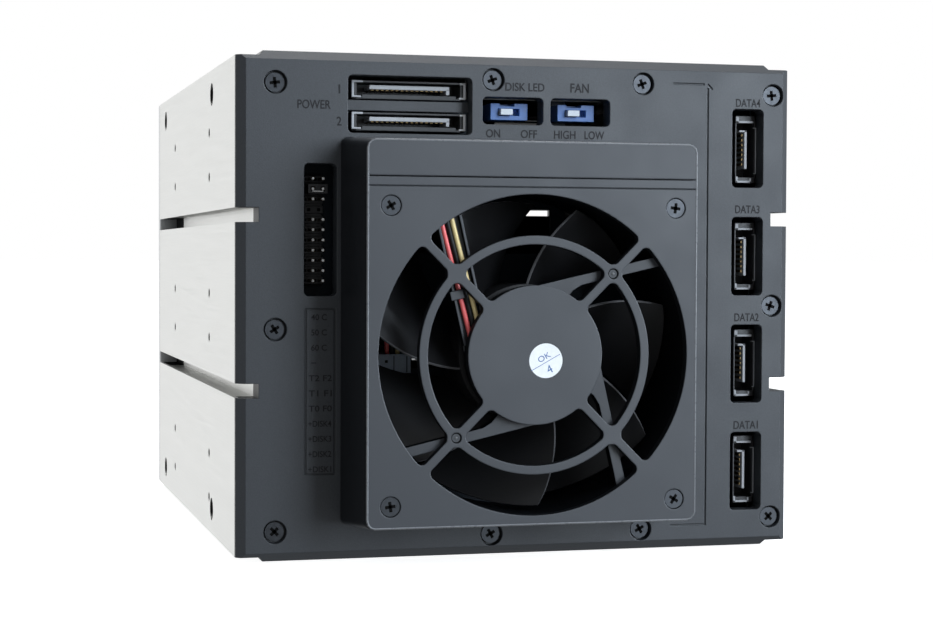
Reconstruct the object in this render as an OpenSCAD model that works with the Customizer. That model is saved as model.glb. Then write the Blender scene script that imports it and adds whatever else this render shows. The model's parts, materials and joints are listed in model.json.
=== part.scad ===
// Hot-swap drive cage: four drive trays in the space of three 5.25 inch bays,
// with a backplane board and an exhaust fan at the rear.
// Frame: X across, Y from the drive trays (-Y) to the fan (+Y), Z up.
// The origin is the centre of the footprint, on the surface that the cage stands on.

/* [Cage] */
// Width over the side panels
cage_w = 145.4; // [145:0.1:147]
// Height of the cage at its corners
cage_h = 123.3; // [123:0.1:124]
// Depth from the front bezel's face to the rear plate's face
cage_d = 177.5; // [176:0.5:180]
// How far the raised centre strips stand above the corners
lip_h = 1.2; // [0.8:0.1:1.4]
// Thickness of the aluminium sheet
sheet_t = 1.0; // [0.8:0.1:1]

/* [Side grooves] */
// Height of the grooves that the tabs between two bays run in
groove_h = 3.6; // [3:0.1:4]
// Depth of the grooves
groove_d = 5.4; // [5:0.1:5.6]
// Height of one 5.25 inch bay
bay_pitch = 42.9; // [42.6:0.1:43]

/* [Fan] */
// Side of the square fan frame
fan_size = 80; // [79.8:0.1:80]
// Spacing of the fan's screws
fan_screw_pitch = 71.5; // [71:0.1:72]
// Number of fan blades
fan_blades = 7; // [5:1:9]
// How far the fan box stands out of the rear plate
fan_box_d = 23.5; // [23:0.1:24]

/* [Drive trays] */
// Number of trays
tray_count = 4; // [4:1:4]
// Height from one tray to the next
tray_pitch = 29.5; // [29.3:0.1:29.5]
// Width of a 3.5 inch drive
drive_w = 101.6; // [101.6]
// How far the trays' faces stand out of the bezel
tray_proud = 7; // [6:0.5:8]
// How far the levers stand out of the trays' faces
lever_proud = 2; // [1.5:0.5:2.5]

/* [Hidden] */
$fn = 48;
SIDES = [-1, 1];
BAYS = [0 : 2];
TRAYS = [0 : tray_count - 1];
eps = 0.01;

// ---- The shared frame ----
total_d = fan_box_d + cage_d + tray_proud + lever_proud;
plate_y = total_d / 2 - fan_box_d; // face of the rear plate, y = 0 in the cage's own places
half_w = cage_w / 2;
lip_top_x = 66.0; // half width of the raised strips at their crest
lip_foot_x = 66.9; // half width of the raised strips at their foot
groove_z = [bay_pitch - 1.85, 2 * bay_pitch - 1.6]; // centres of the two grooves
groove_floor_x = half_w - groove_d;

// ---- Rear plate ----
plate_d = 8.5; // depth of its rim
plate_face_t = 2.5; // thickness of its face
plate_bevel = 2.2; // bevel round its face
plate_flange_t = 1.0; // straight edge between the bevel and the sheet metal
sheet_y1 = -plate_bevel - plate_flange_t; // rear edge of the sheet metal
rim_inset = sheet_t + 0.15;
pocket_d = 5.4; // depth of the sockets' pockets
socket_y = -4.3; // mouths of the board's sockets, inside their pockets

// ---- Board ----
board_y1 = -13; // rear side of the board
board_t = 1.6;
board_y0 = board_y1 - board_t;
air_window_x = [[-34, -15], [-11.3, 7.7], [17, 41]]; // sides of the board's air windows

// ---- Fan ----
fan_x = 3.7;
fan_z = 50.45;
guard_t = 2.6;
fan_y1 = fan_box_d - guard_t; // outlet side of the fan's frame
fan_d = 25.4;
fan_bore_r = 38.9;
blade_tip_r = 37.8;
hub_r = 17.2;
blade_sweep = 20; // how far a blade's root lags behind its tip, in degrees
blade_twist = 42; // how far a blade turns through its depth, in degrees
strut_offset = [14.85, 15.15, 15.6]; // how far the struts' centre lines pass from the fan's axis
rotor_turn = 7.5; // the first blade's direction, in degrees
strut_w = 2.4;
strut_angle = 167; // the first strut's direction
box_front = [82.8, 92.5]; // face of the fan box
box_centre = [3.8, 55.65];
box_draft = 1.7; // how much wider each side is at the foot
guard_top_z = 93.05; // top edge of the screwed guard
guard_hole_r = 38.8;
guard_ring_r = 27.8;
guard_bar_w = 2.1;
guard_hub_r = 16.85;
label_at = [1.1, 49.1]; // the round label on the guard's hub
label_r = 4.2;
label_t = 0.12;

// ---- Sockets, switches and header, as [x, z] on the rear plate ----
power_x = 28.8;
power_z = [115.7, 107.8];
data_x = -62.0;
data_z = [for (i = [0 : 3]) 18.5 + 28.02 * i];
switch_at = [[2.45, 111], [-15.35, 111]];
header_at = [51.8, 80.7];
header_rows = 11;
header_key_row = 3; // counted from the top: this row has no pins
jumper_row = 1;
pin_pitch = 2.54;
pin_tip_y = -4.4;
switch_travel = 2; // how far a switch's knob slides

// ---- Front frame, bezel and trays ----
bezel_t = 4;
front_frame_d = 19.5;
opening_half_w = 64.5;
opening_z = [2.6, 120.9];
bezel_y0 = -cage_d;
bezel_y1 = bezel_y0 + bezel_t;
frame_y0 = bezel_y1;
frame_y1 = frame_y0 + front_frame_d;
tray_front_y = -cage_d - tray_proud;
tray_block_y1 = -170;
tray_end_y = -24;
tray_h = 29.0;
tray_half_w = 64.1;
rail_in_x = drive_w / 2 + 0.4;
rail_t = 1.5;
rail_h = 20;
tongue_z = 11; // height of the rails' tongues above the foot of a tray
tongue_half_h = 1.1;
tongue_out_x = 60;
lever_z = [6.4, 22.4]; // foot and top of a lever above the foot of its tray
lever_x = [-42, 47];
lever_pin_x = 50;
latch_x = [-50.5, -46.9]; // the latch's thumb pad
latch_travel = 2;
latch_nose_x = -44.1; // tip of the latch's nose, just short of the lever
lock_x = -58.4;
lock_r = 3.2;
lamp_x = 59.5;
middle_z = 14.4; // height of the lever's middle above the foot of its tray
tray_slot_x = [-32, -11, 11, 32]; // middles of the air slots behind a lever

function tray_z(i) = opening_z[0] + 0.35 + tray_pitch * i;

// ======== Helpers ========

// Places children in the cage's own frame: y = 0 on the rear plate's face, z = 0 at its lower corner.
module in_cage() {
    translate([0, plate_y, lip_h]) children();
}

// A solid from a 2D outline in X and Z, between two depths.
module slab(y0, y1) {
    translate([0, y1, 0]) rotate([90, 0, 0]) linear_extrude(y1 - y0) children();
}

module block(x0, x1, y0, y1, z0, z1) {
    translate([x0, y0, z0]) cube([x1 - x0, y1 - y0, z1 - z0]);
}

module round_rect(w, h, r) {
    square([w - 2 * r, h], center = true);
    square([w, h - 2 * r], center = true);
    for (sx = SIDES, sz = SIDES) translate([sx * (w / 2 - r), sz * (h / 2 - r)]) circle(r, $fn = 32);
}

// A rod along Y, between two depths.
module rod(x, z, r, y0, y1, fn = 32) {
    translate([x, y1, z]) rotate([90, 0, 0]) cylinder(r = r, h = y1 - y0, $fn = fn);
}

// The cage's cross-section, drawn in by an inset: a rectangle with a raised strip on top and below.
module section(inset = 0) {
    w = half_w - inset;
    foot = lip_foot_x - inset;
    crest = lip_top_x - inset;
    polygon([
        [-w, inset], [-foot, inset], [-crest, inset - lip_h],
        [crest, inset - lip_h], [foot, inset], [w, inset],
        [w, cage_h - inset], [foot, cage_h - inset], [crest, cage_h - inset + lip_h],
        [-crest, cage_h - inset + lip_h], [-foot, cage_h - inset], [-w, cage_h - inset]]);
}

// The four slots of the grooves, widened by a margin.
module groove_slots(margin = 0) {
    for (s = SIDES, z = groove_z)
        translate([s * (half_w + 2), z])
            square([2 * (groove_d + 2 + margin), groove_h + 2 * margin], center = true);
}

// A screw along -Y with a cross recess in its head, its top at y = 0.
module screw(head_r, head_h, shank_r, length) {
    cross_w = head_r * 0.3;
    difference() {
        union() {
            rod(0, 0, head_r, -head_h, 0, 32);
            rod(0, 0, shank_r, -length, -head_h, 24);
        }
        for (a = [0, 90]) rotate([0, a, 0])
            block(-head_r * 0.55, head_r * 0.55, -head_h * 0.6, 1, -cross_w / 2, cross_w / 2);
    }
}

// ======== Housing ========

side_hole_y = [-51.0, -130.25]; // two columns, 79.25 mm apart
side_hole_z = [for (b = BAYS, h = [0, 11.84]) 9.35 + bay_pitch * b + h];
big_hole_y = [-46.0, -156.0];
big_hole_z = [6.6, 116.9];
side_hole_r = 1.25;
big_hole_r = 3.0;
panel_floor_end = -153.5; // the folded groove floors stop here

module side_panel(s) {
    x0 = half_w - sheet_t;
    channel_x = groove_floor_x - sheet_t;
    difference() {
        union() {
            slab(bezel_y1, sheet_y1) difference() {
                translate([s > 0 ? x0 : -half_w, 0]) square([sheet_t, cage_h]);
                groove_slots();
            }
            // folded channels behind the slots
            for (z = groove_z) slab(panel_floor_end, -plate_d - 0.1) difference() {
                translate([s > 0 ? channel_x : -x0 - eps, z - groove_h / 2 - sheet_t])
                    square([x0 - channel_x + eps, groove_h + 2 * sheet_t]);
                groove_slots();
            }
            // flanges that the rear plate's screws hold, kept clear of the data sockets
            for (z = [[2.5, 12], [50, 68], [111, 120.5]])
                slab(-plate_d - 1.1, -plate_d - 0.1)
                    translate([s > 0 ? 58 : -x0 - eps, z[0]])
                        square([x0 - (s > 0 ? 58 : 65.2) + eps, z[1] - z[0]]);
        }
        for (y = side_hole_y, z = side_hole_z) side_hole(s, y, z, side_hole_r);
        for (y = big_hole_y, z = big_hole_z) side_hole(s, y, z, big_hole_r);
        for (p = plate_screw_at) rod(p[0], p[1], 1.6, -plate_d - 2, -plate_d);
    }
}

module side_hole(s, y, z, r) {
    translate([s * (half_w + 1), y, z]) rotate([0, -90 * s, 0]) cylinder(r = r, h = sheet_t + 2, $fn = 32);
}

// Top or bottom cover: the sheet between the side panels, with the raised strip pressed into it.
module cover_sheet(side) {
    gap = 0.05;
    inner_w = half_w - sheet_t - gap;
    spot_flange_y = [-148, -62]; // between the side panels' large holes
    module mirrored() {
        translate([0, side > 0 ? 0 : cage_h]) mirror([0, side > 0 ? 0 : 1]) children();
    }
    module profile() {
        intersection() {
            difference() {
                section();
                section(sheet_t);
            }
            mirrored() translate([-inner_w, cage_h - 3]) square([2 * inner_w, 6]);
        }
    }
    difference() {
        union() {
            slab(bezel_y1, sheet_y1) profile();
            // flanges that are spot-welded to the side panels
            slab(spot_flange_y[0], spot_flange_y[1]) mirrored() for (s = [0, 1]) mirror([s, 0])
                translate([inner_w - sheet_t, cage_h - 7]) square([sheet_t, 6.5]);
            // flange that the rear plate's screws hold
            slab(-plate_d - 1.1, -plate_d - 0.1) mirrored()
                translate([-43, cage_h - 9]) square([56, 9 + lip_h - sheet_t / 2]);
        }
        for (p = plate_screw_at) rod(p[0], p[1], 1.6, -plate_d - 2, -plate_d);
    }
}

// ======== Rear plate ========

screw_seat_d = 2.4; // depth of the screws' counterbores
plate_screw_at = concat(
    [for (z = [6.3, 56.1, 116.6]) [63.2, z]],
    [for (z = [6.3, 61.6, 116.5]) [-67.8, z]],
    [for (x = [8.0, -31.9], z = [4.1, 118.6]) [x, z]]);
board_boss_at = [[51, 108.5], [52, 10], [-47, 108.5], [-47, 10]];
power_pocket = [29.35, 111.75, 31.7, 14.3];
header_pocket = [52.0, 80.6, 8.2, 32.7];
function data_pocket(i) = [-60.75, data_z[i], 8.7, 20.4];
function switch_pocket(i) = [switch_at[i][0] + 0.4, 110.85, 15.9, 6.9];
POCKETS = concat([power_pocket, header_pocket],
    [for (i = [0 : 3]) data_pocket(i)], [for (i = [0, 1]) switch_pocket(i)]);

module pocket_outline(p, grow = 0) {
    translate([p[0], p[1]]) round_rect(p[2] + 2 * grow, p[3] + 2 * grow, 1.2 + grow);
}

module plate_blank() {
    bevel_z = plate_bevel + 0.1;
    edge_y = -plate_bevel - plate_flange_t;
    intersection() {
        union() {
            slab(edge_y, 0) section(0.05);
            slab(-plate_d, edge_y + eps) section(rim_inset);
        }
        translate([0, 0, -5]) linear_extrude(cage_h + 10) polygon([
            [-half_w, -plate_d], [half_w, -plate_d], [half_w, -plate_bevel],
            [half_w - plate_bevel, 0], [-half_w + plate_bevel, 0], [-half_w, -plate_bevel]]);
        rotate([90, 0, 90]) translate([0, 0, -half_w - 1]) linear_extrude(cage_w + 2) polygon([
            [-plate_d, -lip_h], [-bevel_z, -lip_h], [0, bevel_z - lip_h],
            [0, cage_h + lip_h - bevel_z], [-bevel_z, cage_h + lip_h], [-plate_d, cage_h + lip_h]]);
    }
}

// Engraved outlines: the strip beside the fan box and the header's legend.
module engraved_lines() {
    w = 0.45;
    depth = 0.35;
    strip_x = -49.8;
    strip_z = [4.6, 119.1];
    block(strip_x, strip_x + w, -depth, 1, strip_z[0], strip_z[1] - 1.2);
    block(strip_x + 1.2, -40, -depth, 1, strip_z[1] - w, strip_z[1]);
    block(strip_x, -40, -depth, 1, strip_z[0], strip_z[0] + w);
    translate([strip_x + w / 2, -depth, strip_z[1] - w / 2]) rotate([0, 45, 0])
        translate([-w / 2, 0, -1.75]) cube([w, 1, 1.8]);
    slab(-depth, 1) difference() {
        translate([52, 40.7]) square([7.8, 41.2], center = true);
        translate([52, 40.7]) square([7.8 - 2 * w, 41.2 - 2 * w], center = true);
    }
}

module rear_plate() {
    color("#303236") difference() {
        union() {
            difference() {
                plate_blank();
                slab(-plate_d - 1, -plate_face_t) difference() {
                    section(rim_inset + 1.6);
                    groove_slots(1.6);
                    for (p = POCKETS) pocket_outline(p, 1.2);
                    for (p = plate_screw_at) translate(p) circle(3.6);
                    for (p = board_boss_at) translate(p) circle(3);
                }
                slab(-plate_d - 1, -pocket_d) for (p = POCKETS) pocket_outline(p, 1.25);
            }
            // bosses that hold the board
            for (p = board_boss_at) rod(p[0], p[1], 3, board_y1, -plate_face_t - eps);
            // webs between the two power sockets and round every socket's mouth
            slab(-pocket_d, socket_y) translate([power_pocket[0], power_pocket[1]])
                square([power_pocket[2] + 1, 2.6], center = true);
        }
        slab(-plate_d - 1, 1) for (p = POCKETS) difference() {
            pocket_outline(p);
            if (p == power_pocket) translate([p[0], p[1]]) square([p[2] + 2, 2.6], center = true);
        }
        slab(socket_y, 1) pocket_outline(power_pocket);
        slab(-plate_d - 1, 1) groove_slots();
        // opening for the fan and, above it, for its leads
        slab(-plate_d - 1, 1) translate([fan_x, fan_z]) square(fan_size + 0.6, center = true);
        block(8, 38, -plate_d - 1, 1, fan_z + fan_size / 2, 99);
        for (p = plate_screw_at) {
            rod(p[0], p[1], 2.9, -screw_seat_d, 1);
            rod(p[0], p[1], 1.6, -plate_d - 1, 0);
        }
        for (p = board_boss_at) rod(p[0], p[1], 1.5, board_y1 - 1, -plate_face_t - 1);
        for (p = box_peg_at) rod(p[0], p[1], 0.8, -plate_face_t - 1, 1, 24);
        engraved_lines();
    }
}

module rear_plate_screws() {
    color("#4a4c50") for (p = plate_screw_at)
        translate([p[0], -1.1, p[1]]) rotate([0, p[1] * 7, 0]) screw(2.35, screw_seat_d - 1.1, 1.4, 10.5);
}

// ======== Fan box and guard ========

// The outside of the fan box, drawn in by an inset, between two depths.
module box_solid(y0, y1, inset = 0) {
    module ring(y) {
        grow = 2 * box_draft * (1 - y / fan_box_d) - 2 * inset;
        slab(y, y + eps) translate(box_centre)
            round_rect(box_front[0] + grow, box_front[1] + grow, 1.9 - min(inset, 1.2));
    }
    hull() {
        ring(y0);
        ring(y1 - eps);
    }
}

box_peg_at = [for (x = [45.3, -37.7], z = [20, 80]) [x, z]];

module fan_box() {
    inner = fan_size + 0.4;
    color("#2b2d30") for (p = box_peg_at) rod(p[0], p[1], 0.8, -plate_face_t, eps, 24);
    color("#2b2d30") difference() {
        box_solid(0, fan_box_d);
        // room for the fan
        block(fan_x - inner / 2, fan_x + inner / 2, -1, fan_y1, fan_z - inner / 2, fan_z + inner / 2);
        // the guard's seat
        block(-60, 60, fan_y1, fan_box_d + 1, -10, guard_top_z + 0.25);
        // room for the leads above the fan
        block(-34, 41, -1, fan_box_d - 2, guard_top_z + 1.6, 100);
        block(8, 38, -1, fan_box_d - 2, fan_z + inner / 2 - 1, 96);
    }
}

module guard_windows() {
    fillet = 1.5;
    offset(r = fillet) offset(delta = -fillet) difference() {
        circle(guard_hole_r, $fn = 128);
        circle(guard_hub_r, $fn = 96);
        difference() {
            circle(guard_ring_r + guard_bar_w / 2, $fn = 128);
            circle(guard_ring_r - guard_bar_w / 2, $fn = 128);
        }
        for (a = [45, 135]) rotate(a) square([2 * guard_hole_r + 2, guard_bar_w], center = true);
        for (a = [45 : 90 : 315]) rotate(a) translate([guard_ring_r, 0]) circle(2.3, $fn = 32);
    }
}

module fan_guard() {
    color("#34363a") difference() {
        intersection() {
            box_solid(fan_y1 + 0.05, fan_box_d);
            block(-60, 60, 0, 50, -10, guard_top_z);
        }
        slab(0, fan_box_d + 1) translate([fan_x, fan_z]) guard_windows();
        rod(label_at[0], label_at[1], label_r, fan_box_d - label_t, fan_box_d + 1, 64);
        // the fine groove under the guard's top edge
        block(-60, 60, fan_box_d - 0.3, fan_box_d + 1, 90.75, 91);
        for (sx = SIDES, sz = SIDES) {
            x = fan_x + sx * fan_screw_pitch / 2;
            z = fan_z + sz * fan_screw_pitch / 2;
            rod(x, z, 2.5, fan_box_d - 1.5, fan_box_d + 1);
            rod(x, z, 2.15, 0, fan_box_d);
        }
        // the shallow marks that moulding leaves on two of the ring's joints
        for (s = SIDES) rod(fan_x - s * guard_ring_r * cos(45), fan_z + s * guard_ring_r * sin(45),
                            1.3, fan_box_d - 0.35, fan_box_d + 1);
    }
}

module fan_guard_screws() {
    top = fan_box_d - 0.25;
    seat = fan_box_d - 1.5;
    color("#4a4c50") for (sx = SIDES, sz = SIDES)
        translate([fan_x + sx * fan_screw_pitch / 2, top, fan_z + sz * fan_screw_pitch / 2])
            rotate([0, sx * 20 + sz * 12, 0]) screw(2.3, top - seat, 1.95, 10);
}

module inspection_label() {
    color("#e8eef2") rod(label_at[0], label_at[1], label_r, fan_box_d - label_t, fan_box_d, 64);
}

// ======== Fan ========

// A strut that runs from the motor's seat to the frame and passes beside the axis.
module strut_outline(offset) {
    near = offset - strut_w / 2;
    far = offset + strut_w / 2;
    polygon([[0, -far], [37.5, -far], [37.5, -near], [16, -near],
             [13.6, -near + 0.8], [11.7, -near + 2.2], [9, -9]]);
}

// The channel that carries the leads lies beside the axis in the same way.
channel_angle = strut_angle - 90;
channel_y = [-16.1, -9.8];
channel_wall = 0.6;
channel_floor_y = fan_y1 - 1.9;
strut_y0 = fan_y1 - 3; // inner side of the struts and the channel
seat_r = 16.6; // motor seat
motor_tube_r = 4;
bearing_r = 3;
shaft_r = 1.5;

module fan_frame() {
    flange_t = 4;
    y0 = fan_y1 - fan_d;
    color("#1d1e20") translate([fan_x, 0, fan_z]) difference() {
        union() {
            for (y = [y0, fan_y1 - flange_t]) slab(y, y + flange_t) difference() {
                round_rect(fan_size, fan_size, 4);
                circle(fan_bore_r, $fn = 128);
                for (sx = SIDES, sz = SIDES) translate([sx, sz] * fan_screw_pitch / 2) circle(2.15);
            }
            slab(y0 + flange_t - eps, fan_y1 - flange_t + eps) difference() {
                circle(fan_size / 2 - 0.05, $fn = 128);
                circle(fan_bore_r, $fn = 128);
            }
            // motor seat with its tube
            rod(0, 0, seat_r, fan_y1 - 2.5, fan_y1, 96);
            rod(0, 0, motor_tube_r, 3, fan_y1 - 1, 48);
            for (i = [0 : 2]) slab(strut_y0, fan_y1 - 0.2)
                rotate(strut_angle + 90 * i) strut_outline(strut_offset[i]);
            // the fourth strut is a channel with a floor and two walls
            slab(strut_y0, channel_floor_y) rotate(channel_angle)
                translate([2, channel_y[0]]) square([35, channel_y[1] - channel_y[0]]);
            slab(strut_y0, fan_y1 - 0.4) rotate(channel_angle)
                for (y = [channel_y[0], channel_y[1] - channel_wall])
                    translate([6, y]) square([31, channel_wall]);
        }
        rod(0, 0, bearing_r + 0.05, 2, fan_y1 - 1.2, 48);
        // the leads' way through the seat and out over the flange
        slab(channel_floor_y - 0.05, fan_y1 + 1) rotate(channel_angle)
            translate([1.5, channel_y[0] + channel_wall])
                square([50, channel_y[1] - channel_y[0] - 2 * channel_wall]);
        block(17, 31, fan_y1 - 6, fan_y1 + 1, fan_size / 2 - 1.6, 60);
    }
}

module fan_stator() {
    color("#7a4a2a") translate([fan_x, 0, fan_z]) for (i = [0 : 3]) rotate([0, 90 * i, 0]) slab(5, 15)
        difference() {
            union() {
                translate([3, -1.5]) square([7.5, 3]);
                intersection() {
                    difference() {
                        circle(13.5, $fn = 64);
                        circle(10, $fn = 64);
                    }
                    translate([0, -8]) square([20, 16]);
                }
            }
            circle(motor_tube_r + 0.02, $fn = 48);
        }
}

module fan_bearing() {
    color("#b08d57") translate([fan_x, 0, fan_z]) slab(4, 17) difference() {
        circle(bearing_r, $fn = 48);
        circle(shaft_r + 0.05, $fn = 48);
    }
}

module fan_shaft() {
    color("silver") translate([fan_x, 0, fan_z]) rod(0, 0, shaft_r, -2.5, 16.5, 48);
}

// One blade's section: a thin strip that sweeps back from hub to tip.
module blade_section() {
    steps = 5;
    root_r = hub_r - 0.4;
    half_t = 0.6;
    function middle(i) =
        let (r = root_r + (blade_tip_r - root_r) * i / steps, a = -blade_sweep * (1 - i / steps))
        [r * cos(a), r * sin(a)];
    polygon(concat([for (i = [0 : steps]) middle(i) - [0, half_t]],
                   [for (i = [steps : -1 : 0]) middle(i) + [0, half_t]]));
}

module fan_rotor() {
    blade_y = [-2.2, 15.2];
    cup_y = [-3.2, 15.4];
    color("#17181a") translate([fan_x, 0, fan_z]) {
        difference() {
            rod(0, 0, hub_r, cup_y[0], cup_y[1], 64);
            rod(0, 0, hub_r - 1.6, cup_y[0] + 2, cup_y[1] + 1, 64);
            rod(0, 0, shaft_r, cup_y[0] - 1, cup_y[0] + 3, 48);
        }
        for (i = [0 : fan_blades - 1])
            translate([0, blade_y[1], 0]) rotate([90, 0, 0]) rotate(360 / fan_blades * i + rotor_turn)
                linear_extrude(blade_y[1] - blade_y[0], twist = -blade_twist, slices = 6) blade_section();
    }
}

// ======== Leads and board ========

wire_r = 0.6;
lead_pitch = 1.35;
lead_y = channel_floor_y + wire_r + 0.02; // the leads lie on the channel's floor
lead_drift = 0.033; // how far they drift across it for each millimetre along it
connector_at = [fan_x + 28.2, fan_z - 3.35];
plug_top_z = connector_at[1] + 2.4;

// A point over the channel, from the distances along it and across it.
function over_channel(along, across, y) = [
    fan_x + along * cos(channel_angle) - across * sin(channel_angle), y,
    fan_z + along * sin(channel_angle) + across * cos(channel_angle)];

// The leads' route: along the channel, over the frame, through the plate and down to the board.
// The lanes are 1, 0 and -1, from the red lead to the yellow one.
function lead_route(lane) =
    let (across = -13.5 - lane * lead_pitch, side = lane * lead_pitch)
    concat([for (along = [3, 14, 25, 36]) over_channel(along, across + lead_drift * (36 - along), lead_y)],
           [for (p = [[22.9, lead_y, 39.0], [23.4, lead_y - 1.2, 40.8], [23.8, lead_y - 3.8, 42.0],
                      [24.0, 12, 42.4], [24.6, 3, 42.4], [25.4, -4, 41.9], [26.6, -7.6, 39],
                      [28.0, -8.6, 32], [29.0, -8.6, 20], [28.6, -8.6, 8]])
               [fan_x + p[0] + side, p[1], fan_z + p[2]]],
           [[connector_at[0] + side, -8.6, plug_top_z]]);

// A round tube through a list of points. Its direction never runs along X.
module tube(route, r, sides = 8) {
    last = len(route) - 1;
    function ring(i) =
        let (t = route[min(i + 1, last)] - route[max(i - 1, 0)],
             a = cross(t, [1, 0, 0]) / norm(cross(t, [1, 0, 0])),
             b = cross(t, a) / norm(cross(t, a)))
        [for (k = [0 : sides - 1]) route[i] + r * (a * cos(360 / sides * k) + b * sin(360 / sides * k))];
    polyhedron([for (i = [0 : last]) each ring(i)], concat(
        [[for (k = [0 : sides - 1]) k]],
        [for (i = [0 : last - 1], k = [0 : sides - 1])
            let (n = (k + 1) % sides)
            [sides * i + k, sides * (i + 1) + k, sides * (i + 1) + n, sides * i + n]],
        [[for (k = [sides - 1 : -1 : 0]) sides * last + k]]));
}

module fan_leads() {
    color("#c43a3a") tube(lead_route(1), wire_r);
    color("#1a1a1a") tube(lead_route(0), wire_r);
    color("#c9a84e") tube(lead_route(-1), wire_r);
}

module fan_connector() {
    x = connector_at[0];
    z = connector_at[1];
    color("#c8ccd0") {
        // socket on the board
        difference() {
            block(x - 4.6, x + 4.6, board_y1, -10, z - 2.6, z + 2.6);
            block(x - 3.8, x + 3.8, -12, -9, z - 1.6, z + 1.6);
        }
        // plug on the leads
        block(x - 4.4, x + 4.4, -10, -6.6, z - 2.4, plug_top_z);
    }
}

module backplane_board() {
    color("#14402a") difference() {
        slab(board_y0, board_y1) difference() {
            translate([-67, 4]) square([124.5, 114.5]);
            for (z = groove_z) translate([-80, z - groove_h / 2 - 1.6]) square([15.5, groove_h + 3.2]);
            // air windows between the drive sockets, but not behind the fan's connector
            difference() {
                for (i = TRAYS, x = air_window_x)
                    translate([x[0], tray_z(i) + 13]) square([x[1] - x[0], 11.7]);
                translate(connector_at) square([12, 9], center = true);
            }
        }
        for (p = board_boss_at) rod(p[0], p[1], 1.7, board_y0 - 1, board_y1 + 1);
    }
}

module board_screws() {
    color("silver") for (p = board_boss_at) translate([p[0], board_y0, p[1]]) mirror([0, 1, 0])
        translate([0, 1.8, 0]) screw(2.8, 1.8, 1.4, 9);
}

// A socket for a 15-contact power plug, its mouth facing +Y.
module power_socket(z) {
    shell = [29, 4.7];
    difference() {
        slab(board_y1, socket_y) translate([power_x, z]) square(shell, center = true);
        slab(board_y1 + 1.2, socket_y + 1) translate([power_x, z]) difference() {
            square([26.6, 3.5], center = true);
            translate([-10.5, 0.1]) square([20.6, 1.1]);
            translate([-10.5, -1.3]) square([1.2, 2]);
        }
    }
}

module power_sockets() {
    color("#8d9094") for (z = power_z) power_socket(z);
}

// A socket for a 7-contact data plug, standing upright.
module data_sockets() {
    shell = [5.8, 17.6];
    color("#2a2b2e") for (z = data_z) difference() {
        slab(board_y1, socket_y) translate([data_x, z]) square(shell, center = true);
        slab(board_y1 + 1.2, socket_y + 1) translate([data_x, z]) difference() {
            square([4.4, 14.6], center = true);
            translate([-0.5, -5]) square([1.1, 10.2]);
            translate([-0.5, 4.2]) square([2.1, 1.0]);
        }
    }
}

// The sockets that the drives plug into, facing the trays.
drive_socket_x = 12;
module drive_sockets() {
    color("#1f2022") for (i = TRAYS) difference() {
        slab(board_y0 - 8.2, board_y0) translate([drive_socket_x, tray_z(i) + 5.4])
            square([44, 6], center = true);
        slab(board_y0 - 9, board_y0 - 1.2) translate([drive_socket_x, tray_z(i) + 5.4]) difference() {
            square([41.6, 4.2], center = true);
            translate([-19, -1.0]) square([24.5, 1.2]);
            translate([8, -1.0]) square([10.6, 1.2]);
        }
    }
}

module contact_pins() {
    color("gold") {
        for (z = power_z, i = [0 : 14]) translate([power_x - 8.6 + 1.27 * i, 0, z + 0.1])
            block(-0.3, 0.3, board_y1 + 1.2, socket_y - 0.8, -0.25, 0);
        for (z = data_z, i = [0 : 6]) translate([data_x + 0.6, 0, z - 3.9 + 1.27 * i])
            block(0, 0.25, board_y1 + 1.2, socket_y - 0.8, -0.3, 0.3);
        for (c = [0, 1], row = [0 : header_rows - 1]) if (row != header_key_row)
            header_position(c, row) block(-0.32, 0.32, -12.2, pin_tip_y, -0.32, 0.32);
    }
}

module header_position(column, row) {
    translate([header_at[0] + (column - 0.5) * pin_pitch, 0,
               header_at[1] + ((header_rows - 1) / 2 - row) * pin_pitch]) children();
}

module pin_header() {
    header_y = -10.5;
    header_length = header_rows * pin_pitch;
    color("#18191b") difference() {
        union() {
            block(header_at[0] - 2.2, header_at[0] + 2.2, board_y1, header_y,
                  header_at[1] - header_length / 2, header_at[1] + header_length / 2);
            for (row = [0 : header_rows - 1]) header_position(0.5, row)
                block(-2.5, 2.5, board_y1, header_y, -1, 1);
        }
        for (c = [0, 1], row = [0 : header_rows - 1]) header_position(c, row)
            block(-0.4, 0.4, -12.2, -9, -0.4, 0.4);
    }
}

module jumper_cap() {
    color("#222326") header_position(0.5, jumper_row) difference() {
        block(-2.5, 2.5, -10.3, -4.6, -1.2, 1.2);
        for (s = SIDES) translate([s * pin_pitch / 2, 0, 0]) block(-0.5, 0.5, -11, -4, -0.5, 0.5);
    }
}

module buzzer() {
    color("#151618") difference() {
        rod(50.5, 28, 4.8, board_y1, -8.5, 48);
        rod(50.5, 28, 1, -9.5, -8, 24);
    }
}

module switch_bodies() {
    color("#3f6fc4") for (p = switch_at) difference() {
        block(p[0] - 4.9, p[0] + 4.9, board_y1, -5, p[1] - 2.1, p[1] + 2.1);
        block(p[0] - 0.7 - switch_travel, p[0] + 2.9, -7.5, -4, p[1] - 1.0, p[1] + 0.8);
        block(p[0] - 1.4, p[0] + 2.5, -9, -4, p[1] + 1.45, p[1] + 3);
    }
}

module switch_knob(i) {
    p = switch_at[i];
    color("white") block(p[0] - 0.55, p[0] + 2.65, -7.3, -3.4, p[1] - 0.85, p[1] + 0.65);
}

// ======== Front ========

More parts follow.
